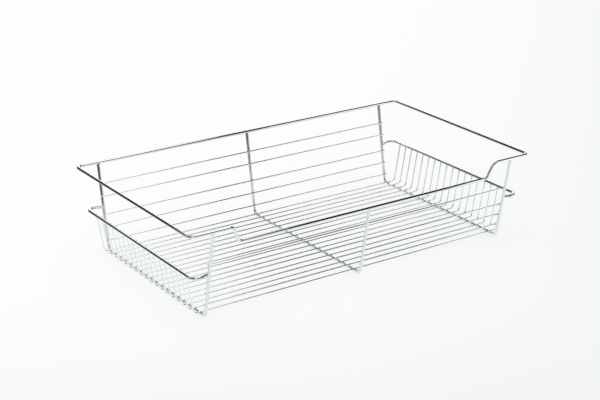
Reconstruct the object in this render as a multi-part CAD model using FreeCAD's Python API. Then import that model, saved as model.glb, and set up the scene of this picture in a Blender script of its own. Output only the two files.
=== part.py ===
import FreeCAD, Part
import math
import os

# Pull-out wire basket for a closet, in millimetres.
# +X runs along the long side, +Y points to the back, +Z up, and the origin is on the
# ground under the middle. Heavy wire makes the rim, the three frames that carry
# everything and the two runners. Thin wire makes the floor and the walls.

# Driving dimensions of the whole basket
OVERALL_WIDTH = 736.0
OVERALL_DEPTH = 406.0
OVERALL_HEIGHT = 167.0
FLOOR_DEPTH = 344.0
FRAME_SPACING = 321.7

# Wire sizes and how they are joined. Heavy wire is round, and the many thin wires are bars
# with this many flats. A bend is made of short straight lengths, mitred by no more than
# the largest mitre.
HEAVY_DIAMETER = 5.5
THIN_DIAMETER = 2.8
THIN_FLATS = 12
LARGEST_MITRE = 21.0
WELD_SET_DOWN = 0.2
COPE_SEAT = 0.1
UPRIGHT_SHORT_OF_RIM = 1.3

# Rim
RIM_CORNER_RADIUS = 10.0
FRONT_DROP = 29.8
DROP_CENTRE_X = 276.0
DROP_LEAN = 68.0
DROP_BEND_RADIUS = 10.0

# Frames
FRAME_BEND_RADIUS = 10.0

# Runners
RUNNER_X = 354.0
RUNNER_HEIGHT = 80.3
RUNNER_REACH = 188.0
RUNNER_BEND_RADIUS = 13.0
RUNNER_TURN = 108.0
RUNNER_END_X = 323.3

# Floor wires, which also stand up as the side bars
FLOOR_WIRE_COUNT = 18
FLOOR_WIRE_PITCH = 18.7
FLOOR_WIRE_BEND_RADIUS = 8.0
BAR_ABOVE_RUNNER = 1.6

# Wall wires, by height above the middle of the frames' floor runs
BACK_WIRE_HEIGHTS = (17.9, 42.4, 66.8, 99.9, 124.0)
FRONT_WIRE_HEIGHTS = (22.3, 43.7, 65.2, 99.1)
WALL_WIRE_OVERHANG = 3.3

# Levels and half sizes that follow from the dimensions above
HEAVY_RADIUS = HEAVY_DIAMETER / 2
THIN_RADIUS = THIN_DIAMETER / 2
FRAME_Z = HEAVY_RADIUS
RIM_X = OVERALL_WIDTH / 2 - HEAVY_RADIUS
RIM_Y = OVERALL_DEPTH / 2 - HEAVY_RADIUS
RIM_Z = OVERALL_HEIGHT - HEAVY_RADIUS
FRONT_RIM_Z = RIM_Z - FRONT_DROP
RUNNER_Z = FRAME_Z + RUNNER_HEIGHT
WELD_DISTANCE = HEAVY_RADIUS + THIN_RADIUS - WELD_SET_DOWN
FLOOR_WIRE_Z = FRAME_Z + WELD_DISTANCE
WALL_SLOPE = (RIM_Y - FLOOR_DEPTH / 2) / (RIM_Z - FRAME_Z)
WALL_LEAN = math.atan(WALL_SLOPE)


def wall_y(z):
    """Distance of the sloping walls' uprights from the middle, at height z."""
    return FLOOR_DEPTH / 2 + WALL_SLOPE * (z - FRAME_Z)


def bend(corner, before, after, radius):
    """Points that take a route round one corner. The lengths between them are tangent to the bend's arc."""
    to_before = (before - corner).normalize()
    to_after = (after - corner).normalize()
    half_opening = to_before.getAngle(to_after) / 2
    turn = math.pi - 2 * half_opening
    centre = corner + (to_before + to_after).normalize() * (radius / math.sin(half_opening))
    outward = (corner + to_before * (radius / math.tan(half_opening)) - centre).normalize()
    onward = to_before * -1
    mitres = math.ceil(turn / math.radians(LARGEST_MITRE))
    step = turn / mitres
    reach = radius / math.cos(step / 2)
    angles = [(number + 0.5) * step for number in range(mitres)]
    return [centre + outward * (reach * math.cos(a)) + onward * (reach * math.sin(a)) for a in angles]


def bent_route(corners, radii, closed=False):
    """Straight runs through the corners, with a bend of the given radius at each.

    An open route has no bend at its two ends. A closed one starts and ends half way along
    its last run, where the two ends of the wire are butt welded.
    """
    corners = [FreeCAD.Vector(*corner) for corner in corners]
    count = len(corners)
    bent = range(count) if closed else range(1, count - 1)
    points = []
    for i, radius in zip(bent, radii):
        points += bend(corners[i], corners[i - 1], corners[(i + 1) % count], radius)
    if closed:
        seam = (points[-1] + points[0]) / 2
        return [seam, *points, seam]
    return [corners[0], *points, corners[-1]]


def mitred_bar(points, section):
    """A bar of the given section along a route, mitred wherever the route turns, as one solid."""
    mitred = 1
    return Part.makePolygon(points).makePipeShell([section], True, False, mitred)


def heavy_bar(points):
    """Round heavy wire along a route."""
    circle = Part.makeCircle(HEAVY_RADIUS, points[0], points[1] - points[0])
    return mitred_bar(points, Part.Wire(circle))


def thin_bar(points, flat_normal):
    """Thin wire along a route, measured across its flats. One of them faces along flat_normal."""
    across = (points[1] - points[0]).cross(flat_normal).normalize()
    edge_reach = THIN_RADIUS / math.cos(math.pi / THIN_FLATS)
    angles = [(number + 0.5) * 2 * math.pi / THIN_FLATS for number in range(THIN_FLATS + 1)]
    outline = [points[0] + (flat_normal * math.cos(a) + across * math.sin(a)) * edge_reach for a in angles]
    return mitred_bar(points, Part.makePolygon(outline))


def cope_along(start, end):
    """A straight bar, a little slimmer than heavy wire, that shapes the end of a wire welded to it."""
    start = FreeCAD.Vector(*start)
    run = FreeCAD.Vector(*end) - start
    return Part.makeCylinder(HEAVY_RADIUS - COPE_SEAT, run.Length, start, run)


def largest_solid(shape):
    """The biggest solid of a shape, without any crumb that a cope leaves on the far side."""
    return max(shape.Solids, key=lambda solid: solid.Volume)


def upright_end(wall, rim_z):
    """Where the middle of an upright's end lies, a little below the middle of the rim."""
    z = rim_z - UPRIGHT_SHORT_OF_RIM * math.cos(WALL_LEAN)
    return wall * wall_y(z), z


def top_rim():
    """Closed rim of heavy wire. It drops by two S bends, in the slope of the wall, along the front."""
    lean_run = FRONT_DROP / math.cos(WALL_LEAN) / math.tan(math.radians(DROP_LEAN))
    high_x = DROP_CENTRE_X + lean_run / 2
    low_x = DROP_CENTRE_X - lean_run / 2
    low_y = -wall_y(FRONT_RIM_Z)
    corners = [
        (-RIM_X, RIM_Y, RIM_Z),
        (RIM_X, RIM_Y, RIM_Z),
        (RIM_X, -RIM_Y, RIM_Z),
        (high_x, -RIM_Y, RIM_Z),
        (low_x, low_y, FRONT_RIM_Z),
        (-low_x, low_y, FRONT_RIM_Z),
        (-high_x, -RIM_Y, RIM_Z),
        (-RIM_X, -RIM_Y, RIM_Z),
    ]
    radii = [RIM_CORNER_RADIUS] * 3 + [DROP_BEND_RADIUS] * 4 + [RIM_CORNER_RADIUS]
    return heavy_bar(bent_route(corners, radii, closed=True))


def frame(x, front_rim_z):
    """U-shaped frame: an upright at the back, a floor run and an upright at the front.

    Both uprights are coped to sit round the underside of the rim.
    """
    corners = [
        (x, *upright_end(1, RIM_Z)),
        (x, FLOOR_DEPTH / 2, FRAME_Z),
        (x, -FLOOR_DEPTH / 2, FRAME_Z),
        (x, *upright_end(-1, front_rim_z)),
    ]
    bar = heavy_bar(bent_route(corners, [FRAME_BEND_RADIUS] * 2))
    copes = [
        cope_along((x - HEAVY_DIAMETER, y, z), (x + HEAVY_DIAMETER, y, z))
        for y, z in ((wall_y(RIM_Z), RIM_Z), (-wall_y(front_rim_z), front_rim_z))
    ]
    return largest_solid(bar.cut(copes))


def runner(side):
    """Hooked runner outside one end wall. Its two tails come back in to the end frame's uprights."""
    turn = math.radians(RUNNER_TURN)
    tail_angle = turn - math.pi / 2
    corner_y = RUNNER_REACH - RUNNER_BEND_RADIUS + RUNNER_BEND_RADIUS * math.tan(turn / 2)
    tail_y = corner_y - (RUNNER_X - RUNNER_END_X) * math.tan(tail_angle)
    corners = [
        (side * RUNNER_END_X, tail_y, RUNNER_Z),
        (side * RUNNER_X, corner_y, RUNNER_Z),
        (side * RUNNER_X, -corner_y, RUNNER_Z),
        (side * RUNNER_END_X, -tail_y, RUNNER_Z),
    ]
    bar = heavy_bar(bent_route(corners, [RUNNER_BEND_RADIUS] * 2))
    frame_x = side * FRAME_SPACING
    low_z = RUNNER_Z - HEAVY_DIAMETER
    high_z = RUNNER_Z + HEAVY_DIAMETER
    copes = [
        cope_along((frame_x, wall * wall_y(low_z), low_z), (frame_x, wall * wall_y(high_z), high_z))
        for wall in (1, -1)
    ]
    return largest_solid(bar.cut(copes))


def floor_wire(y):
    """Thin wire across the floor, bent up at both ends to the inner side of the runners."""
    clearance_x = WELD_DISTANCE / math.cos(WALL_LEAN)
    top_z = RUNNER_Z + BAR_ABOVE_RUNNER
    top_x = RUNNER_X - clearance_x + WALL_SLOPE * BAR_ABOVE_RUNNER
    low_x = RUNNER_X - clearance_x - WALL_SLOPE * (RUNNER_Z - FLOOR_WIRE_Z)
    corners = [
        (-top_x, y, top_z),
        (-low_x, y, FLOOR_WIRE_Z),
        (low_x, y, FLOOR_WIRE_Z),
        (top_x, y, top_z),
    ]
    return thin_bar(bent_route(corners, [FLOOR_WIRE_BEND_RADIUS] * 2), FreeCAD.Vector(0, 1, 0))


def wall_wire(height, wall):
    """Straight thin wire on the inner side of the uprights. wall is 1 at the back, -1 at the front."""
    z = FRAME_Z + height
    y = wall * (wall_y(z) - WELD_DISTANCE / math.cos(WALL_LEAN))
    half_length = FRAME_SPACING + WALL_WIRE_OVERHANG
    points = [FreeCAD.Vector(-half_length, y, z), FreeCAD.Vector(half_length, y, z)]
    to_uprights = FreeCAD.Vector(0, wall * math.cos(WALL_LEAN), -math.sin(WALL_LEAN))
    return thin_bar(points, to_uprights)


def basket():
    """Every piece of the basket by its name."""
    pieces = {
        "top_rim": top_rim(),
        "left_runner": runner(-1),
        "right_runner": runner(1),
        "left_frame": frame(-FRAME_SPACING, RIM_Z),
        "centre_frame": frame(0.0, FRONT_RIM_Z),
        "right_frame": frame(FRAME_SPACING, RIM_Z),
    }
    first_y = -FLOOR_WIRE_PITCH * (FLOOR_WIRE_COUNT - 1) / 2
    for number in range(FLOOR_WIRE_COUNT):
        name = f"floor_wire_{number + 1:02d}"
        pieces[name] = floor_wire(first_y + number * FLOOR_WIRE_PITCH)
    for number, height in enumerate(BACK_WIRE_HEIGHTS, start=1):
        pieces[f"back_wire_{number}"] = wall_wire(height, 1)
    for number, height in enumerate(FRONT_WIRE_HEIGHTS, start=1):
        pieces[f"front_wire_{number}"] = wall_wire(height, -1)
    return pieces


def main():
    os.makedirs("parts", exist_ok=True)
    for name, solid in basket().items():
        print(name, "valid", solid.isValid(), "volume", round(solid.Volume, 1))
        solid.exportStep(f"parts/{name}.step")


main()
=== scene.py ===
"""Pull-out wire basket for a closet, chrome plated, on a pale table in soft studio light.

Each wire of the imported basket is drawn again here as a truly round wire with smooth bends, cut ends and
welds. Lengths are in metres. +X runs along the long side, +Y points to the back and +Z up.
"""

from __future__ import annotations

import logging
import math
from dataclasses import dataclass
from enum import Enum

import bpy
import numpy as np
from mathutils import Matrix, Vector

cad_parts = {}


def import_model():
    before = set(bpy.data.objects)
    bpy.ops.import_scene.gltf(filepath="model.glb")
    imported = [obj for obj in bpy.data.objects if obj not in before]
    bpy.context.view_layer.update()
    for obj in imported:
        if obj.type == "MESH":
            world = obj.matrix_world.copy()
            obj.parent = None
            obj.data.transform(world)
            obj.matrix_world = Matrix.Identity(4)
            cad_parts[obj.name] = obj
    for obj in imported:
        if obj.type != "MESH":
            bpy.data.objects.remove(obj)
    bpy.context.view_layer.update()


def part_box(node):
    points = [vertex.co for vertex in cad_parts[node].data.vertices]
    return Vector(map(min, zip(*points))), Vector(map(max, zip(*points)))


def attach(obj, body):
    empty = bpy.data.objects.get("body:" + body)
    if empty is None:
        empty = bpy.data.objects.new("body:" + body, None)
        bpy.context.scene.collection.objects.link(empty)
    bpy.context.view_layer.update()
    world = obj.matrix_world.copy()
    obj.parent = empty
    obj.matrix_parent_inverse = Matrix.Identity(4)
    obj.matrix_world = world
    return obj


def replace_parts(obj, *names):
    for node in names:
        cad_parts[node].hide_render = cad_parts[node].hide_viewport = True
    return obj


Array = np.ndarray
Material = bpy.types.Material
LOG = logging.getLogger("basket")
MM = 0.001
BODY = "root"
FRAMES = ("left", "centre", "right")
FLOOR_WIRES = 18
X_AXIS, Y_AXIS, Z_AXIS = np.eye(3)


# Small helpers


def unit(vectors: Array) -> Array:
    """Each vector of an array divided by its length."""
    return vectors / np.linalg.norm(vectors, axis=-1, keepdims=True)


def vector(*values: float) -> Array:
    """Numbers as one array of floats."""
    return np.array(values, float)


def everywhere(direction: Array, points: Array) -> Array:
    """The same direction at each of the points."""
    return np.broadcast_to(direction, points.shape)


def circle(count: int) -> Array:
    """Angles evenly round a circle."""
    return np.arange(count) * 2 * math.pi / count


def new_object(name: str, data: bpy.types.ID) -> bpy.types.Object:
    """Puts a new object in the scene.

    Args:
        name: Its name.
        data: Its mesh, lamp or camera.

    Returns:
        The object.
    """
    made = bpy.data.objects.new(name, data)
    bpy.context.scene.collection.objects.link(made)
    return made


# Shader nodes as Python expressions


class Value:
    """A number, colour or vector of a shader. The usual operators on a number add Math nodes."""

    def __init__(self, tree: ShaderTree, socket: bpy.types.NodeSocket | None) -> None:
        """Wraps an output socket of a tree."""
        self.tree = tree
        self.socket = socket

    def _math(self, operation: str, *values: Value | float) -> Value:
        """A Math node of that operation on the values."""
        return self.tree.node("ShaderNodeMath", {"operation": operation}, dict(enumerate(values)))

    def __add__(self, other: Value | float) -> Value:
        """Self plus other."""
        return self._math("ADD", self, other)

    def __sub__(self, other: Value | float) -> Value:
        """Self minus other."""
        return self._math("SUBTRACT", self, other)

    def __rsub__(self, other: float) -> Value:
        """Other minus self."""
        return self._math("SUBTRACT", other, self)

    def __mul__(self, other: Value | float) -> Value:
        """Self times other."""
        return self._math("MULTIPLY", self, other)

    __radd__ = __add__
    __rmul__ = __mul__

    def larger(self, other: Value | float) -> Value:
        """The larger of self and other."""
        return self._math("MAXIMUM", self, other)

    def step(self, low: float, high: float) -> Value:
        """A smooth step from zero at low to one at high. High may be the smaller one."""
        inputs = {"Value": self, "From Min": low, "From Max": high}
        return self.tree.node("ShaderNodeMapRange", {"interpolation_type": "SMOOTHSTEP"}, inputs)


class ShaderTree:
    """The nodes of a material or of the world, emptied first.

    The Mix node's sockets share their names, so its colour sockets go by number.
    """

    MIX_FIRST, MIX_SECOND, MIX_RESULT = 6, 7, 2

    def __init__(self, owner: Material | bpy.types.World) -> None:
        """Empties the owner's nodes.

        Args:
            owner: The material or world.
        """
        owner.use_nodes = True
        self.nodes = owner.node_tree.nodes
        self.links = owner.node_tree.links
        self.nodes.clear()

    def node(self, kind: str, settings: dict, inputs: dict, output: int | str = 0) -> Value:
        """Adds any node.

        Args:
            kind: Blender's type name of the node.
            settings: Properties of the node by name, set first.
            inputs: Values or links by the name or number of their socket.
            output: Name or number of the output that is wanted.

        Returns:
            The wanted output.
        """
        made = self.nodes.new(kind)
        for name, value in settings.items():
            setattr(made, name, value)
        for place, value in inputs.items():
            if isinstance(value, Value):
                self.links.new(value.socket, made.inputs[place])
            else:
                made.inputs[place].default_value = value
        return Value(self, made.outputs[output] if made.outputs else None)

    def blend(self, share: Value | float, first: Value | tuple, second: Value | tuple) -> Value:
        """A colour between two others. Share is zero for the first and one for the second."""
        inputs = {0: share, self.MIX_FIRST: first, self.MIX_SECOND: second}
        return self.node("ShaderNodeMix", {"data_type": "RGBA"}, inputs, self.MIX_RESULT)

    def axes(self, place: Value) -> list[Value]:
        """The X, Y and Z of a vector."""
        outputs = self.node("ShaderNodeSeparateXYZ", {}, {0: place}).socket.node.outputs
        return [Value(self, outputs[axis]) for axis in range(3)]


# Finishes


@dataclass(frozen=True)
class ChromePlate:
    """Bright chrome on drawn steel wire.

    The plate is almost a mirror. Fine lines from the drawing die run along the wire, its surface waves a
    little, haze comes and goes, and the plate is duller over the rough skin of a weld. A depth is the
    height of the bump in metres, and a scale is the number of waves in a metre.
    """

    name: str
    tint: tuple[float, float, float] = (0.815, 0.830, 0.834)
    weld_tint: tuple[float, float, float] = (0.77, 0.775, 0.77)
    weld_share: float = 0.8
    hazy_tint: float = 0.93
    hazy_share: float = 0.35
    gloss: float = 0.055
    haze: float = 0.05
    weld_haze: float = 0.16
    line_haze: float = 0.03
    pit_haze: float = 0.2
    line_depth: float = 0.0004 * MM
    wave_depth: float = 0.02 * MM
    pit_depth: float = 0.002 * MM
    line_scale: float = 2600.0
    line_stretch: float = 0.02
    wave_scale: float = 26.0
    pit_scale: float = 1500.0
    haze_scale: float = 34.0
    haze_range: tuple[float, float] = (0.42, 0.72)
    pit_range: tuple[float, float] = (0.73, 0.82)

    def material(self) -> Material:
        """The finish as a material.

        Returns:
            A metal whose tint, roughness and bump follow the piece's own wire_place and weld attributes.
        """
        made = bpy.data.materials.new(self.name)
        tree = ShaderTree(made)
        along = tree.node("ShaderNodeAttribute", {"attribute_name": "wire_place"}, {}, "Vector")
        weld = tree.node("ShaderNodeAttribute", {"attribute_name": "weld"}, {}, "Fac")
        place = tree.node("ShaderNodeTexCoord", {}, {}, "Object")
        stretch = {"Vector": along, "Scale": (1.0, 1.0, self.line_stretch)}
        stretched = tree.node("ShaderNodeMapping", {}, stretch)
        lines = self._noise(tree, stretched, self.line_scale, detail=3.0)
        haze = self._noise(tree, place, self.haze_scale, detail=4.0).step(*self.haze_range)
        waves = self._noise(tree, place, self.wave_scale, detail=1.0)
        pits = self._noise(tree, place, self.pit_scale, detail=1.0).step(*self.pit_range)
        height = lines * self.line_depth + waves * self.wave_depth - pits * self.pit_depth
        bump = tree.node("ShaderNodeBump", {}, {"Strength": 1.0, "Distance": 1.0, "Height": height})
        hazy = (*(self.hazy_tint * value for value in self.tint), 1.0)
        plain = tree.blend(haze * self.hazy_share, (*self.tint, 1.0), hazy)
        colour = tree.blend(weld * self.weld_share, plain, (*self.weld_tint, 1.0))
        roughness = haze * self.haze + weld * self.weld_haze + lines * self.line_haze
        roughness = roughness + pits * self.pit_haze + self.gloss
        inputs = {"Base Color": colour, "Metallic": 1.0, "Roughness": roughness, "Normal": bump}
        surface = tree.node("ShaderNodeBsdfPrincipled", {}, inputs)
        tree.node("ShaderNodeOutputMaterial", {}, {"Surface": surface})
        return made

    @staticmethod
    def _noise(tree: ShaderTree, place: Value, scale: float, detail: float) -> Value:
        """Smooth noise of that many waves in a metre, with finer ones on them as detail says."""
        return tree.node("ShaderNodeTexNoise", {}, {"Vector": place, "Scale": scale, "Detail": detail})


# Shapes


@dataclass
class Shape:
    """A mesh as arrays, with the two things that the finish reads at every point.

    place holds where a point is in the straight wire: across, across and along. weld is one at a weld and
    falls to zero some millimetres away.
    """

    points: Array
    quads: Array
    triangles: Array
    place: Array
    weld: Array

    def piece(self, name: str, material: Material, slot: str) -> bpy.types.Object:
        """The shape as an object that rides on the basket.

        Args:
            name: Name of the new object.
            material: Its finish.
            slot: The record's material slot that the finish belongs to. It is not used.

        Returns:
            The object, at the origin and unturned, with its place in its mesh.
        """
        mesh = bpy.data.meshes.new(name)
        mesh.from_pydata(self.points.tolist(), [], self.quads.tolist() + self.triangles.tolist())
        smooth = np.ones(len(mesh.polygons), bool)
        smooth[len(self.quads):] = False
        mesh.polygons.foreach_set("use_smooth", smooth)
        place = mesh.attributes.new("wire_place", "FLOAT_VECTOR", "POINT")
        place.data.foreach_set("vector", self.place.astype(np.float32).ravel())
        weld = mesh.attributes.new("weld", "FLOAT", "POINT")
        weld.data.foreach_set("value", self.weld.astype(np.float32))
        mesh.materials.append(material)
        mesh.update()
        made = new_object(name, mesh)
        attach(made, BODY)
        LOG.info("%s: %d points, %d faces", name, len(mesh.vertices), len(mesh.polygons))
        return made


def skin(rings: int, sides: int, closed: bool = False) -> Array:
    """The quads between each ring of points and the next, facing outwards.

    Args:
        rings: Number of rings.
        sides: Number of points in a ring.
        closed: Whether the last ring is joined to the first.

    Returns:
        Numbers of the corners, four a row.
    """
    ring, turn = np.arange(rings if closed else rings - 1)[:, None], np.arange(sides)
    after, beside = (ring + 1) % rings, (turn + 1) % sides
    corners = [(ring, turn), (ring, beside), (after, beside), (after, turn)]
    return np.stack([row * sides + column for row, column in corners], -1).reshape(-1, 4)


def fans(rings: int, sides: int) -> Array:
    """The triangles that close the first and the last ring round two poles, which follow the rings.

    Args:
        rings: Number of rings.
        sides: Number of points in a ring.

    Returns:
        Numbers of the corners, three a row.
    """
    turn = np.arange(sides)
    beside, last, pole = (turn + 1) % sides, (rings - 1) * sides, np.full(sides, rings * sides)
    ends = [(pole, beside, turn), (pole + 1, last + turn, last + beside)]
    return np.concatenate([np.stack(end, -1) for end in ends])


@dataclass
class Centreline:
    """The middle line of a bent wire: points and the direction at each."""

    points: Array
    directions: Array
    closed: bool = False

    STEP = 2.5 * MM
    TURN_STEP = math.radians(5.0)

    @classmethod
    def through(cls, corners: list[tuple], radii: list[float], closed: bool = False) -> Centreline:
        """Straight runs through corners, joined by arcs that are tangent to both runs.

        At a corner with unit vectors a and b to its neighbours and half the angle h between them, the arc
        of radius r has its centre at r / sin h along a + b, and touches the runs r / tan h from the corner.

        Args:
            corners: Where the runs would meet if the wire were not bent round.
            radii: Radius of each bend. An open line has none at its two ends.
            closed: Whether the last corner is joined to the first.

        Returns:
            The line, sampled every few millimetres and every few degrees.
        """
        stops = np.array(corners, float)
        count = len(stops)
        bent = range(count) if closed else range(1, count - 1)
        arcs = [cls._arc(stops[i], stops[i - 1], stops[(i + 1) % count], r) for i, r in zip(bent, radii)]
        if closed:
            end = (arcs[-1][0][-1] + arcs[0][0][0]) / 2
            parts = [(end[None], arcs[0][1][:1])]
        else:
            end = stops[-1]
            parts = [(stops[:1], unit(stops[1:2] - stops[:1]))]
        for arc in arcs:
            parts += [cls._run(parts[-1][0][-1], arc[0][0]), arc]
        parts.append(cls._run(parts[-1][0][-1], end))
        if not closed:
            parts.append((stops[-1:], unit(stops[-1:] - stops[-2:-1])))
        points, directions = (np.concatenate(column) for column in zip(*parts))
        return cls(points, directions, closed)

    @classmethod
    def _arc(cls, corner: Array, before: Array, after: Array, radius: float) -> tuple[Array, Array]:
        """The bend at one corner.

        Args:
            corner: Where the two runs would meet.
            before: The corner before it.
            after: The corner after it.
            radius: Radius of the bend.

        Returns:
            Points along the arc, with both its ends, and the direction at each.
        """
        to_before, to_after = unit(before - corner), unit(after - corner)
        half = math.acos(float(to_before @ to_after)) / 2
        centre = corner + unit(to_before + to_after) * radius / math.sin(half)
        outward = unit(corner + to_before * radius / math.tan(half) - centre)
        turn = math.pi - 2 * half
        angles = np.linspace(0, turn, math.ceil(turn / cls.TURN_STEP) + 1)[:, None]
        points = centre + radius * (outward * np.cos(angles) - to_before * np.sin(angles))
        return points, -outward * np.sin(angles) - to_before * np.cos(angles)

    @classmethod
    def _run(cls, start: Array, end: Array) -> tuple[Array, Array]:
        """A straight run without its ends.

        Args:
            start: Where it starts.
            end: Where it ends.

        Returns:
            Points strictly between the two, and the direction at each.
        """
        length = float(np.linalg.norm(end - start))
        shares = np.linspace(0, 1, max(2, math.ceil(length / cls.STEP)) + 1)[1:-1, None]
        points = start + shares * (end - start)
        return points, np.broadcast_to(unit(end - start), points.shape)

    def runs(self) -> Array:
        """Length along the line. Round a closed line it grows to half way and falls again.

        Returns:
            The length from the start to each point.
        """
        steps = np.linalg.norm(np.diff(self.points, axis=0), axis=1)
        lengths = np.concatenate([[0.0], np.cumsum(steps)])
        return np.minimum(lengths, lengths[-1] - lengths) if self.closed else lengths


@dataclass(frozen=True)
class WireStock:
    """Round drawn wire of one gauge, and how a shear leaves its ends."""

    slot: str
    radius: float
    sides: int
    edge_rings: int = 4
    edge_break: float = 0.28 * MM
    crown: float = 0.03 * MM
    weld_reach: float = 2.6 * MM

    def bar(self, line: Centreline, level: Array, welds: Array) -> Shape:
        """A closed round bar along a line.

        A ring of points is carried along the line: middle + radius * (side * cos a + lift * sin a), where
        side = level x direction and lift = direction x side, both of length one. At a cut end the rings
        shrink over a quarter circle, and a slightly crowned face closes the bar.

        Args:
            line: The middle of the bar.
            level: A direction that the line never runs along, which keeps the rings from turning.
            welds: Middles of all the basket's welds, one a row.

        Returns:
            The bar as a shape.
        """
        middles, directions, runs = line.points, line.directions, line.runs()
        scales = np.ones(len(middles))
        if not line.closed:
            bevel = np.linspace(math.pi / 2, 0, self.edge_rings)
            inset = self.crown + self.edge_break * (1 - np.sin(bevel))
            narrow = 1 - self.edge_break / self.radius * (1 - np.cos(bevel))
            first = middles[:1] + directions[:1] * inset[:, None]
            last = middles[-1:] - directions[-1:] * inset[::-1, None]
            middles = np.concatenate([first, middles[1:-1], last])
            copies = [self.edge_rings] + [1] * (len(directions) - 2) + [self.edge_rings]
            directions = np.repeat(directions, copies, axis=0)
            runs = np.concatenate([inset, runs[1:-1], runs[-1] - inset[::-1]])
            scales = np.concatenate([narrow, scales[1:-1], narrow[::-1]])
        side = unit(np.cross(level, directions))
        lift = np.cross(directions, side)
        turns = circle(self.sides)
        across = self.radius * np.stack([np.cos(turns), np.sin(turns)], -1)
        reach = scales[:, None, None]
        rings = middles[:, None] + reach * (side[:, None] * across[:, :1] + lift[:, None] * across[:, 1:])
        along = np.broadcast_to(runs[:, None, None], (len(runs), self.sides, 1))
        place = np.concatenate([reach * across, along], -1)
        quads = skin(len(middles), self.sides, line.closed)
        points, place = rings.reshape(-1, 3), place.reshape(-1, 3)
        triangles = np.zeros((0, 3), int)
        if not line.closed:
            triangles = fans(len(middles), self.sides)
            points = np.concatenate([points, line.points[[0, -1]]])
            place = np.concatenate([place, [[0, 0, 0], [0, 0, line.runs()[-1]]]])
        return Shape(points, quads, triangles, place, self._near_weld(points, welds))

    def _near_weld(self, points: Array, welds: Array) -> Array:
        """One at a weld, falling as exp(-(distance / reach) squared) from the nearest one."""
        distance = np.linalg.norm(points[:, None] - welds[None], axis=-1).min(1)
        return np.exp(-((distance / self.weld_reach) ** 2))


# Welds


@dataclass
class WeldRing:
    """A ring of weld metal in the hollow between two wires, closed through a point inside each wire."""

    ball: float = 0.55 * MM
    around: int = 20
    across: int = 3
    dullness: float = 0.75

    def hollow(self, middles: Array, first: Array, second: Array) -> Array:
        """The hollow that a small ball leaves as it rolls round the joint and touches both wires.

        Across the hollow the points run on the ball, from where it touches the first wire to where it
        touches the second: middle + (start sin((1 - t) w) + end sin(t w)) / sin w, with w between the two.

        Args:
            middles: Middles of the ball on its way round, anticlockwise seen from the second wire.
            first: Where the ball touches the first wire.
            second: Where it touches the second.

        Returns:
            Rows of points, from the first wire to the second.
        """
        start, end = first - middles, second - middles
        opening = np.arccos(np.clip((unit(start) * unit(end)).sum(-1), -1, 1))[:, None]
        shares = np.linspace(0, 1, self.across + 1)[:, None, None]
        arc = start * np.sin((1 - shares) * opening) + end * np.sin(shares * opening)
        return middles + arc / np.sin(opening)

    def placed(self, rows: Array, poles: list[tuple], origins: Array, axes: Array) -> Shape:
        """The same ring of weld metal at many joints.

        Args:
            rows: The hollow, as rows of points from the first wire to the second.
            poles: A point inside the first wire and one inside the second.
            origins: Where the middle of each joint is.
            axes: The joint's own X, Y and Z there, as the rows of a matrix for each joint.

        Returns:
            All the welds as one shape.
        """
        points = np.concatenate([rows.reshape(-1, 3), np.array(poles)])
        size = (self.across + 1, self.around)
        starts = np.arange(len(origins))[:, None, None] * len(points)
        return Shape(
            (origins[:, None] + np.einsum("pk,nkc->npc", points, axes)).reshape(-1, 3),
            (skin(*size) + starts).reshape(-1, 4),
            (fans(*size) + starts).reshape(-1, 3),
            np.tile(points, (len(origins), 1)),
            np.full(len(origins) * len(points), self.dullness),
        )


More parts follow.
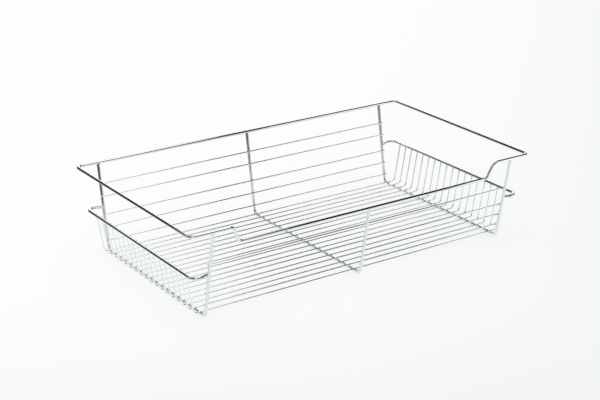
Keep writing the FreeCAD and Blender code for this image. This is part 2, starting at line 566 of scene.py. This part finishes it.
@dataclass
class CrossWelds(WeldRing):
    """Welds where one wire lies across another.

    The lower wire runs along the joint's X, the upper one along its Y, and Z points from the lower to the
    upper. With a the angle round the upper wire, the ball's middle is (R + r) sin a along the lower wire,
    d - (R + r) cos a above its middle, and beside it where it also touches the lower wire.
    """

    lower_radius: float = 0.0
    upper_radius: float = 0.0
    stop: float = math.inf
    pole_share: float = 0.8

    LEAST_COSINE = -0.99
    SHY_OF_WIDEST = 0.999

    def build(self, lower: tuple[Array, Array], upper: tuple[Array, Array]) -> tuple[Shape, Array]:
        """Welds between pairs of wires that cross at the same distance.

        With n = a x b, the lines p + s a and q + t b are nearest where s = ((q - p) x b) . n / (n . n),
        and there they are (q - p) . n / |n| apart.

        Args:
            lower: A point and a direction of each lower wire.
            upper: A point and a direction of each upper wire. The weld ends at stop on the side it points to.

        Returns:
            All the welds as one shape, and the middle of each joint.
        """
        (lower_point, along), (upper_point, over) = lower, upper
        apart = upper_point - lower_point
        cross = np.cross(along, over)
        size = np.linalg.norm(cross, axis=-1, keepdims=True)
        share = (np.cross(apart, over) * cross).sum(-1, keepdims=True) / size**2
        distance = (apart * cross).sum(-1, keepdims=True) / size
        origins = lower_point + share * along
        rise = cross / size * np.sign(distance)
        first = along * np.sign(distance)
        axes = np.stack([first, np.cross(rise, first), rise], -2)
        height = float(np.abs(distance).mean())
        joints = origins + rise * (self.lower_radius + height - self.upper_radius) / 2
        low_pole, high_pole = self.lower_radius * self.pole_share, self.upper_radius * self.pole_share
        poles = [(0, 0, low_pole), (0, 0, height - high_pole)]
        return self.placed(self._rows(height), poles, origins, axes), joints

    def _rows(self, height: float) -> Array:
        """The hollow of one weld, round to just short of where the ball would sit on the lower wire's top.

        Args:
            height: Distance between the middles of the two wires.

        Returns:
            Rows of points, from the lower wire to the upper.
        """
        low, high = self.lower_radius + self.ball, self.upper_radius + self.ball
        widest = math.acos(max(self.LEAST_COSINE, (height - low) / high)) * self.SHY_OF_WIDEST
        turns = circle(self.around)
        angle = -widest * np.sin(turns)
        up = height - high * np.cos(angle)
        beside = np.sqrt(np.maximum(0, low**2 - up**2)) * np.where(np.cos(turns) < 0, -1, 1)
        middles = np.stack([high * np.sin(angle), beside, up], -1)
        share = self.lower_radius / low
        on_lower = middles * vector(1, share, share)
        above, share = vector(0, 0, height), self.upper_radius / high
        on_upper = (middles - above) * vector(share, 1, share) + above
        rows = self.hollow(middles, on_lower, on_upper)
        rows[..., 1] = np.minimum(rows[..., 1], self.stop)
        return rows


@dataclass
class TeeWelds(WeldRing):
    """Welds where the end of a wire meets the side of another one at a right angle.

    The through wire runs along the joint's X and the ending one along its Z. With a the angle round the
    ending wire, the ball's middle is (R + r) cos a, (R + r) sin a, and the root of (R + r) squared less
    the second squared along Z.
    """

    through_radius: float = 0.0
    ending_radius: float = 0.0

    def build(self, origins: Array, through: Array, ending: Array) -> Shape:
        """Welds at many joints.

        Args:
            origins: Where the middles of the two wires meet.
            through: Direction of the wire that goes on.
            ending: Direction of the wire that ends, away from the joint.

        Returns:
            All the welds as one shape.
        """
        through = everywhere(through, origins)
        axes = np.stack([through, np.cross(ending, through), ending], -2)
        low, high = self.through_radius + self.ball, self.ending_radius + self.ball
        turns = circle(self.around)
        across, beside = high * np.cos(turns), high * np.sin(turns)
        middles = np.stack([across, beside, np.sqrt(low**2 - beside**2)], -1)
        share = self.through_radius / low
        on_through = middles * vector(1, share, share)
        share = self.ending_radius / high
        on_ending = middles * vector(share, share, 1)
        poles = [(0, 0, 0), (0, 0, low)]
        return self.placed(self.hollow(middles, on_through, on_ending), poles, origins, axes)


# Plan of the basket


@dataclass(frozen=True)
class Plan:
    """Radii of the heavy and the thin wire, and places that the sub-assemblies share.

    What a node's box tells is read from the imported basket. foot_y is where the middle of a wall's wires
    comes down to, and above_runner how far the floor wires' ends pass a runner's middle.
    """

    heavy: float
    thin: float
    rim: Array
    low_rim_z: float
    frames: Array
    runner: Array
    floor_rows: Array
    floor_z: float
    foot_y: float = 172.0 * MM
    above_runner: float = 1.6 * MM

    @classmethod
    def read(cls) -> Plan:
        """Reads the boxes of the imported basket's nodes.

        Returns:
            The plan.
        """
        low, high = (np.array(corner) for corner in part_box("top_rim"))
        heavy = float(np.ptp(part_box("left_frame"), axis=0)[0]) / 2
        thin = float(np.ptp(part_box("floor_wire_01"), axis=0)[1]) / 2
        frames = [cls.middle(f"{name}_frame") for name in FRAMES]
        rows = [cls.middle(f"floor_wire_{number:02d}")[1] for number in range(1, FLOOR_WIRES + 1)]
        return cls(
            heavy=heavy,
            thin=thin,
            rim=high - heavy,
            low_rim_z=float(low[2] + heavy),
            frames=np.array(frames)[:, 0],
            runner=np.array(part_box("right_runner")[1]) - heavy,
            floor_rows=np.array(rows),
            floor_z=float(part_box("floor_wire_01")[0][2] + thin),
        )

    @staticmethod
    def middle(node: str) -> Array:
        """Middle of a node's box."""
        return np.array(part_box(node)).mean(0)

    @property
    def slope(self) -> float:
        """How far the front and back walls lean out for each metre up."""
        return float((self.rim[1] - self.foot_y) / (self.rim[2] - self.heavy))

    @property
    def lean(self) -> float:
        """Angle of the walls from upright."""
        return math.atan(self.slope)

    def wall_y(self, height: float) -> float:
        """Distance of the uprights' middle from the middle of the basket, at that height."""
        return self.foot_y + self.slope * (height - self.heavy)

    def up_the_wall(self, wall: int) -> Array:
        """Direction up the uprights of the back wall, 1, or of the front wall, -1."""
        return vector(0, wall * math.sin(self.lean), math.cos(self.lean))


# Sub-assemblies


@dataclass(frozen=True)
class Dress:
    """What dresses a sub-assembly: finishes of its wires and welds, and the middle of every weld."""

    plate: Material
    welded: Material
    joints: Array


@dataclass
class SubAssembly:
    """Wires of one gauge that belong together."""

    wire: WireStock
    plan: Plan

    def draw(self, node: str, line: Centreline, level: Array, dress: Dress) -> None:
        """Draws one wire in place of its node. Its line never runs along level."""
        shape = self.wire.bar(line, level, dress.joints)
        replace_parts(shape.piece(f"{node}_plated", dress.plate, self.wire.slot), node)


@dataclass
class Rim(SubAssembly):
    """Closed rim of heavy wire, which drops by two S bends in the slope of the wall along the front."""

    corner_radius: float = 10.0 * MM
    drop_middle: float = 276.0 * MM
    drop_lean: float = math.radians(68.0)
    drop_radius: float = 10.0 * MM

    def line(self) -> Centreline:
        """The rim's middle line. A drop's run is its slant height / tan of its lean.

        Returns:
            The line, closed.
        """
        x, y, z = self.plan.rim
        low_z = self.plan.low_rim_z
        half_run = (z - low_z) / math.cos(self.plan.lean) / math.tan(self.drop_lean) / 2
        high_x, low_x = self.drop_middle + half_run, self.drop_middle - half_run
        low_y = -self.plan.wall_y(low_z)
        corners = [(-x, y, z), (x, y, z), (x, -y, z), (high_x, -y, z)]
        corners += [(low_x, low_y, low_z), (-low_x, low_y, low_z), (-high_x, -y, z), (-x, -y, z)]
        radii = [self.corner_radius] * 3 + [self.drop_radius] * 4 + [self.corner_radius]
        return Centreline.through(corners, radii, closed=True)

    def build(self, dress: Dress) -> None:
        """Draws the rim."""
        self.draw("top_rim", self.line(), Z_AXIS, dress)


@dataclass
class Frames(SubAssembly):
    """The three U-shaped frames and the welds of their uprights to the underside of the rim."""

    bend_radius: float = 10.0 * MM
    short_of_rim: float = 1.3 * MM
    coped: float = 0.06 * MM

    def tops(self) -> list[tuple[float, int, float]]:
        """Where the six uprights meet the rim.

        Returns:
            The frame's X, the wall and the height of the rim's middle, for each upright.
        """
        high = float(self.plan.rim[2])
        fronts = zip(self.plan.frames, (high, self.plan.low_rim_z, high))
        return [(x, 1, high) for x in self.plan.frames] + [(x, -1, z) for x, z in fronts]

    def line(self, x: float, front_height: float) -> Centreline:
        """Middle line of one frame.

        Args:
            x: Where the frame stands.
            front_height: Height of the rim's middle over its front upright.

        Returns:
            The line, from the top of the back upright to the top of the front one.
        """
        short = self.short_of_rim * math.cos(self.plan.lean)
        back_z, front_z = float(self.plan.rim[2]) - short, front_height - short
        corners = [
            (x, self.plan.wall_y(back_z), back_z),
            (x, self.plan.foot_y, self.plan.heavy),
            (x, -self.plan.foot_y, self.plan.heavy),
            (x, -self.plan.wall_y(front_z), front_z),
        ]
        return Centreline.through(corners, [self.bend_radius] * 2)

    def joints(self) -> Array:
        """Middles of the welds under the rim."""
        return np.array([
            vector(x, wall * self.plan.wall_y(z), z) - self.plan.heavy * self.plan.up_the_wall(wall)
            for x, wall, z in self.tops()
        ])

    def build(self, dress: Dress) -> None:
        """Draws the frames and their welds to the rim.

        Args:
            dress: Finishes and welds.
        """
        fronts = [z for _, wall, z in self.tops() if wall < 0]
        for name, x, front in zip(FRAMES, self.plan.frames, fronts):
            self.draw(f"{name}_frame", self.line(x, front), X_AXIS, dress)
        weld = TeeWelds(through_radius=self.plan.heavy, ending_radius=self.plan.heavy - self.coped)
        meets = np.array([(x, wall * self.plan.wall_y(z), z) for x, wall, z in self.tops()])
        downwards = np.array([-self.plan.up_the_wall(wall) for _, wall, _ in self.tops()])
        weld.build(meets, X_AXIS, downwards).piece("welds_under_rim", dress.welded, self.wire.slot)


@dataclass
class Runners(SubAssembly):
    """The two hooked runners outside the end walls, welded to the end frames' uprights by their tails."""

    reach: float = 188.0 * MM
    bend_radius: float = 13.0 * MM
    turn: float = math.radians(108.0)
    end_x: float = 323.3 * MM
    weld_ball: float = 0.9 * MM
    weld_short_of_end: float = 0.3 * MM

    def corners(self, side: int) -> list[tuple]:
        """Where the straight runs of one runner end or meet. A tail slants by its turn less 90 degrees.

        Args:
            side: -1 for the left runner, 1 for the right one.

        Returns:
            The four places, from the end of the back tail to the end of the front one.
        """
        x, _, z = self.plan.runner
        corner_y = self.reach - self.bend_radius + self.bend_radius * math.tan(self.turn / 2)
        tail_y = corner_y - (x - self.end_x) * math.tan(self.turn - math.pi / 2)
        return [
            (side * self.end_x, tail_y, z),
            (side * x, corner_y, z),
            (side * x, -corner_y, z),
            (side * self.end_x, -tail_y, z),
        ]

    def tails(self) -> tuple[Array, Array, Array, Array]:
        """The four tails and the uprights that they meet.

        Returns:
            End and direction of each tail, and a point and the direction of its upright.
        """
        runs = np.array([self.corners(side) for side in (-1, 1)])
        ends, corners = runs[:, [0, 3]].reshape(-1, 3), runs[:, [1, 2]].reshape(-1, 3)
        walls, height = (1, -1, 1, -1), self.plan.runner[2]
        feet = [(math.copysign(self.plan.frames[2], x), 0, height) for x in ends[:, 0]]
        feet = feet + self.plan.wall_y(height) * np.outer(walls, Y_AXIS)
        rises = np.array([self.plan.up_the_wall(wall) for wall in walls])
        return ends, unit(ends - corners), feet, rises

    def welds(self) -> tuple[Shape, Array]:
        """Welds of the tails to the uprights, kept off the tails' cut ends.

        Returns:
            The welds as one shape, and their middles.
        """
        ends, inwards, feet, rises = self.tails()
        apart = np.cross(rises, inwards)
        short = (np.cross(ends - feet, rises) * apart).sum(-1) / (apart**2).sum(-1)
        weld = CrossWelds(
            ball=self.weld_ball,
            lower_radius=self.plan.heavy,
            upper_radius=self.plan.heavy,
            stop=float(short.mean()) - self.weld_short_of_end,
        )
        return weld.build((feet, rises), (ends, inwards))

    def build(self, dress: Dress) -> None:
        """Draws both runners and the welds of their tails.

        Args:
            dress: Finishes and welds.
        """
        for name, side in (("left", -1), ("right", 1)):
            line = Centreline.through(self.corners(side), [self.bend_radius] * 2)
            self.draw(f"{name}_runner", line, Z_AXIS, dress)
        self.welds()[0].piece("welds_on_runner_tails", dress.welded, self.wire.slot)


@dataclass
class FloorWires(SubAssembly):
    """The thin wires across the floor, bent up at both ends to the runners, and their welds."""

    bend_radius: float = 8.0 * MM
    weld_short_of_end: float = 0.25 * MM

    @property
    def gap(self) -> float:
        """Distance of a thin wire's middle from the middle of the heavy wire that it is welded to."""
        return self.plan.floor_z - self.plan.heavy

    def line(self, y: float) -> Centreline:
        """Middle line of one floor wire, whose upturned ends touch the runners at the walls' slope.

        Args:
            y: Where its row is.

        Returns:
            The line, from left to right.
        """
        runner_x, runner_z = self.plan.runner[0], self.plan.runner[2]
        top_z = runner_z + self.plan.above_runner
        beside = runner_x - self.gap / math.cos(self.plan.lean)
        top_x = beside + self.plan.slope * self.plan.above_runner
        low_z = self.plan.floor_z
        low_x = beside - self.plan.slope * (runner_z - low_z)
        corners = [(-top_x, y, top_z), (-low_x, y, low_z), (low_x, y, low_z), (top_x, y, top_z)]
        return Centreline.through(corners, [self.bend_radius] * 2)

    def floor_welds(self) -> tuple[Shape, Array]:
        """Welds of the floor wires to the frames.

        Returns:
            The welds as one shape, and their middles.
        """
        x, y = (grid.ravel() for grid in np.meshgrid(self.plan.frames, self.plan.floor_rows))
        frames = np.stack([x, y, np.full_like(x, self.plan.heavy)], -1)
        wires = np.stack([x, y, np.full_like(x, self.plan.floor_z)], -1)
        along, over = everywhere(Y_AXIS, frames), everywhere(X_AXIS, frames)
        weld = CrossWelds(lower_radius=self.plan.heavy, upper_radius=self.plan.thin)
        return weld.build((frames, along), (wires, over))

    def runner_welds(self) -> tuple[Shape, Array]:
        """Welds of the upturned ends to the runners, kept off the cut ends.

        Returns:
            The welds as one shape, and their middles.
        """
        lean = self.plan.lean
        ends = [-self.plan.runner[0], self.plan.runner[0]]
        x, y = (grid.ravel() for grid in np.meshgrid(ends, self.plan.floor_rows))
        side = np.sign(x)
        level = np.full_like(x, self.plan.runner[2])
        runners = np.stack([x, y, level], -1)
        wires = np.stack([x - side * self.gap / math.cos(lean), y, level], -1)
        upwards = np.stack([side * math.sin(lean), np.zeros_like(x), np.full_like(x, math.cos(lean))], -1)
        left = self.plan.above_runner / math.cos(lean) - self.gap * math.tan(lean)
        stop = left - self.weld_short_of_end
        weld = CrossWelds(lower_radius=self.plan.heavy, upper_radius=self.plan.thin, stop=stop)
        return weld.build((runners, everywhere(Y_AXIS, runners)), (wires, upwards))

    def build(self, dress: Dress) -> None:
        """Draws every floor wire and the welds.

        Args:
            dress: Finishes and welds.
        """
        for number, y in enumerate(self.plan.floor_rows, start=1):
            self.draw(f"floor_wire_{number:02d}", self.line(y), Y_AXIS, dress)
        self.floor_welds()[0].piece("welds_of_floor_to_frames", dress.welded, self.wire.slot)
        self.runner_welds()[0].piece("welds_of_floor_to_runners", dress.welded, self.wire.slot)


class WallSide(Enum):
    """The two long walls: name, side of the basket and number of thin wires."""

    BACK = ("back", 1, 5)
    FRONT = ("front", -1, 4)

    def __init__(self, title: str, towards: int, wires: int) -> None:
        """Names the three values."""
        self.title, self.towards, self.wires = title, towards, wires


@dataclass
class WallWires(SubAssembly):
    """The straight thin wires on the inner side of one long wall's uprights, and their welds."""

    side: WallSide

    def nodes(self) -> list[str]:
        """Names of the wires' nodes, from the lowest up."""
        return [f"{self.side.title}_wire_{number}" for number in range(1, self.side.wires + 1)]

    def welds(self) -> tuple[Shape, Array]:
        """Welds of the wires to the uprights.

        Returns:
            The welds as one shape, and their middles.
        """
        wall = self.side.towards
        middles = [self.plan.middle(node) for node in self.nodes()]
        wires = np.array([(x, y, z) for _, y, z in middles for x in self.plan.frames])
        uprights = wires.copy()
        uprights[:, 1] = wall * self.plan.wall_y(wires[:, 2])
        along, over = everywhere(self.plan.up_the_wall(wall), wires), everywhere(X_AXIS, wires)
        weld = CrossWelds(lower_radius=self.plan.heavy, upper_radius=self.plan.thin)
        return weld.build((uprights, along), (wires, over))

    def build(self, dress: Dress) -> None:
        """Draws the wall's wires and their welds.

        Args:
            dress: Finishes and welds.
        """
        for node in self.nodes():
            low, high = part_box(node)
            _, y, z = self.plan.middle(node)
            line = Centreline.through([(low.x, y, z), (high.x, y, z)], [])
            self.draw(node, line, Z_AXIS, dress)
        self.welds()[0].piece(f"welds_of_{self.side.title}_wall", dress.welded, self.wire.slot)


# Table, light and camera


@dataclass
class Table:
    """A white table top, which the camera sees as far as it goes.

    Chrome mirrors only its middle part, inside four soft edges, because the table in the photograph ends
    there and the room beyond is dark. Past a line a x + b y + c = 0 the white fades to a darker tone, by
    the growth times the distance squared: painted shade where the light falls off to the right and to
    the front. own_light and mirrored_light are the shares of glow in the paint, for the camera and for
    chrome. The tones and fades that the camera sees were fitted to the ground in the photograph.
    """

    level: float = -0.05 * MM
    half_size: float = 15.0
    tone: tuple[float, float, float] = (0.985, 0.984, 0.984)
    # Painted shade: the darker tones towards the right and the front stand in for light that falls off there.
    right_painted_shade: tuple[float, float, float] = (0.883, 0.912, 0.898)
    front_painted_shade: tuple[float, float, float] = (0.869, 0.887, 0.882)
    # Painted reflection tint: chrome sees the table in this cooler, cyan tone instead of its white.
    mirrored_tone: tuple[float, float, float] = (0.895, 0.952, 0.956)
    front_edge: float = -1.08
    back_edge: float = 0.14
    left_edge: float = -0.53
    right_edge: float = 0.85
    right_fade: tuple[float, float, float] = (0.684, -0.729, 0.395)
    front_fade: tuple[float, float, float] = (-0.491, -0.871, -0.078)
    right_growth: float = 0.7
    front_growth: float = 1.8
    edge_width: float = 0.39
    own_light: float = 0.75
    mirrored_light: float = 0.88

    def material(self) -> Material:
        """White with painted shade that darkens it a little to the right and to the front, and keeps the
        basket's shadow.

        Returns:
            Paint mixed with a glow.
        """
        made = bpy.data.materials.new("table_white")
        tree = ShaderTree(made)
        place = tree.node("ShaderNodeTexCoord", {}, {}, "Object")
        x, y, _ = tree.axes(place)
        # Painted shade: past two lines the white darkens towards the right and the front, where the light
        # falls off.
        right, front = self._past(x, y, self.right_fade), self._past(x, y, self.front_fade)
        tone = (*self.tone, 1.0)
        beside = tree.blend(right * right * self.right_growth, tone, (*self.right_painted_shade, 1.0))
        colour = tree.blend(front * front * self.front_growth, beside, (*self.front_painted_shade, 1.0))
        camera = tree.node("ShaderNodeLightPath", {}, {}, "Is Camera Ray")
        clear = tree.node("ShaderNodeLightPath", {}, {}, "Is Transmission Ray")
        glossy = tree.node("ShaderNodeLightPath", {}, {}, "Is Glossy Ray")
        table_top = (
            y.step(self.front_edge - self.edge_width, self.front_edge)
            * y.step(self.back_edge + self.edge_width, self.back_edge)
            * x.step(self.left_edge - self.edge_width, self.left_edge)
            * x.step(self.right_edge + self.edge_width, self.right_edge)
        )
        strength = camera.larger(clear).larger(glossy * table_top)
        # Painted reflection tint: glossy rays see the table in the cooler mirrored tone.
        shown = tree.blend(glossy, colour, (*self.mirrored_tone, 1.0))
        glow = tree.node("ShaderNodeEmission", {}, {"Color": shown, "Strength": strength})
        paint = tree.node("ShaderNodeBsdfDiffuse", {}, {"Color": colour})
        share = camera.larger(clear) * self.own_light + glossy * self.mirrored_light
        mixed = tree.node("ShaderNodeMixShader", {}, {0: share, 1: paint, 2: glow})
        tree.node("ShaderNodeOutputMaterial", {}, {"Surface": mixed})
        return made

    @staticmethod
    def _past(x: Value, y: Value, line: tuple[float, float, float]) -> Value:
        """How far a place lies past a line on the table, and zero before it."""
        return (x * line[0] + y * line[1] + line[2]).larger(0.0)

    def build(self) -> None:
        """Lays the table under the basket."""
        size = self.half_size
        mesh = bpy.data.meshes.new("table")
        signs = ((-1, -1), (1, -1), (1, 1), (-1, 1))
        corners = [(size * across, size * back, self.level) for across, back in signs]
        mesh.from_pydata(corners, [], [(0, 1, 2, 3)])
        mesh.materials.append(self.material())
        new_object("table", mesh)
        LOG.info("table: %.0f m square", 2 * size)


@dataclass(frozen=True)
class Softbox:
    """A rectangle of light that faces the middle of the basket.

    The bearing is the angle in degrees from the back, over the right, to the lamp, and the rise is its
    angle above the table. Sizes are in metres.
    """

    name: str
    bearing: float
    rise: float
    distance: float
    width: float
    height: float
    radiance: float

    def build(self) -> None:
        """Hangs the lamp, which shows in metal only. Its power is its radiance times pi times its area."""
        data = bpy.data.lights.new(self.name, "AREA")
        data.shape = "RECTANGLE"
        data.size, data.size_y = self.width, self.height
        data.energy = self.radiance * math.pi * self.width * self.height
        made = new_object(self.name, data)
        turn, rise = math.radians(self.bearing), math.radians(self.rise)
        away = Vector((math.sin(turn) * math.cos(rise), math.cos(turn) * math.cos(rise), math.sin(rise)))
        right = Vector((math.cos(turn), -math.sin(turn), 0))
        turned = Matrix((right, away.cross(right), away)).transposed()
        made.matrix_world = Matrix.Translation(away * self.distance) @ turned.to_4x4()
        made.visible_camera = made.visible_diffuse = False
        LOG.info("%s: %.1f by %.1f m", self.name, self.width, self.height)


@dataclass
class Studio:
    """A few softboxes that only metal mirrors, in a room that is dim in a mirror and even elsewhere.

    room is the level of the world in a mirror, plain its level on matt surfaces, and shown its level for
    the camera. The boxes and the room weren't chosen by hand. Another program fitted them, with the
    table's edges and the plates' brightness, to how dark the wires are in the photograph.
    """

    boxes: tuple[Softbox, ...] = (
        Softbox("softbox_overhead", 183.7, 62.5, 2.05, 1.82, 2.49, 0.40),
        Softbox("softbox_right", 125.8, 0.0, 0.80, 0.35, 0.85, 1.04),
        Softbox("softbox_top", 87.0, 69.4, 2.58, 2.83, 0.55, 0.99),
        Softbox("softbox_back", 22.0, 25.8, 1.34, 1.38, 0.74, 1.29),
        Softbox("softbox_back_right", 59.0, 17.5, 0.77, 1.78, 0.19, 0.68),
        Softbox("softbox_left_top", 283.9, 64.1, 0.90, 0.81, 1.73, 0.53),
        Softbox("softbox_front_low", 219.3, 28.2, 0.86, 0.26, 0.45, 1.08),
    )
    room: float = 0.009
    plain: float = 1.0
    shown: float = 0.98

    def build(self) -> None:
        """Hangs the softboxes and makes the world."""
        for box in self.boxes:
            box.build()
        world = bpy.data.worlds.new("studio")
        bpy.context.scene.world = world
        tree = ShaderTree(world)
        glossy = tree.node("ShaderNodeLightPath", {}, {}, "Is Glossy Ray")
        camera = tree.node("ShaderNodeLightPath", {}, {}, "Is Camera Ray")
        elsewhere = 1.0 - glossy.larger(camera)
        level = glossy * self.room + camera * self.shown + elsewhere * self.plain
        sky = tree.node("ShaderNodeBackground", {}, {"Color": (1.0, 1.0, 1.0, 1.0), "Strength": level})
        tree.node("ShaderNodeOutputWorld", {}, {"Surface": sky})
        LOG.info("studio: %d softboxes", len(self.boxes))


@dataclass
class Viewpoint:
    """The photograph's camera, from a fit of a pinhole camera to the wires."""

    place: tuple[float, float, float] = (-1.4553, -2.0780, 1.0690)
    right: tuple[float, float, float] = (0.822962, -0.568046, 0.007549)
    up: tuple[float, float, float] = (0.199347, 0.301198, 0.932492)
    focal_pixels: float = 1467.5
    width_pixels: float = 600.0
    sensor: float = 36.0
    clip: tuple[float, float] = (0.05, 100.0)

    def build(self) -> None:
        """Makes the scene's camera."""
        data = bpy.data.cameras.new("camera")
        data.sensor_width = self.sensor
        data.lens = self.focal_pixels / self.width_pixels * self.sensor
        data.clip_start, data.clip_end = self.clip
        made = new_object("camera", data)
        right, up = Vector(self.right), Vector(self.up)
        turned = Matrix((right, up, right.cross(up))).transposed()
        made.matrix_world = Matrix.Translation(self.place) @ turned.to_4x4()
        bpy.context.scene.camera = made
        LOG.info("camera: lens %.1f mm", data.lens)


def main() -> None:
    """Builds the basket on its frame, then the table, the light and the camera."""
    logging.basicConfig(level=logging.INFO, format="%(name)s %(message)s")
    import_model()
    plan = Plan.read()
    heavy_plate = ChromePlate("chrome_on_heavy_wire")
    thin_plate = ChromePlate("chrome_on_thin_wire", tint=(0.913, 0.929, 0.934))
    weld_plate = ChromePlate("chrome_on_welds", gloss=0.09)
    heavy = WireStock("heavy_wire", plan.heavy, sides=32)
    thin = WireStock("thin_wire", plan.thin, sides=20)
    frames, runners, floor = Frames(heavy, plan), Runners(heavy, plan), FloorWires(thin, plan)
    walls = [WallWires(thin, plan, side) for side in WallSide]
    joints = np.concatenate([
        frames.joints(),
        runners.welds()[1],
        floor.floor_welds()[1],
        floor.runner_welds()[1],
        *(wall.welds()[1] for wall in walls),
    ])
    on_heavy, on_thin, on_weld = heavy_plate.material(), thin_plate.material(), weld_plate.material()
    heavy_dress, thin_dress = Dress(on_heavy, on_weld, joints), Dress(on_thin, on_weld, joints)
    for part in (Rim(heavy, plan), frames, runners):
        part.build(heavy_dress)
    for part in (floor, *walls):
        part.build(thin_dress)
    Table().build()
    Studio().build()
    Viewpoint().build()
    bpy.context.scene.view_settings.view_transform = "Standard"


if __name__ == "__main__":
    main()
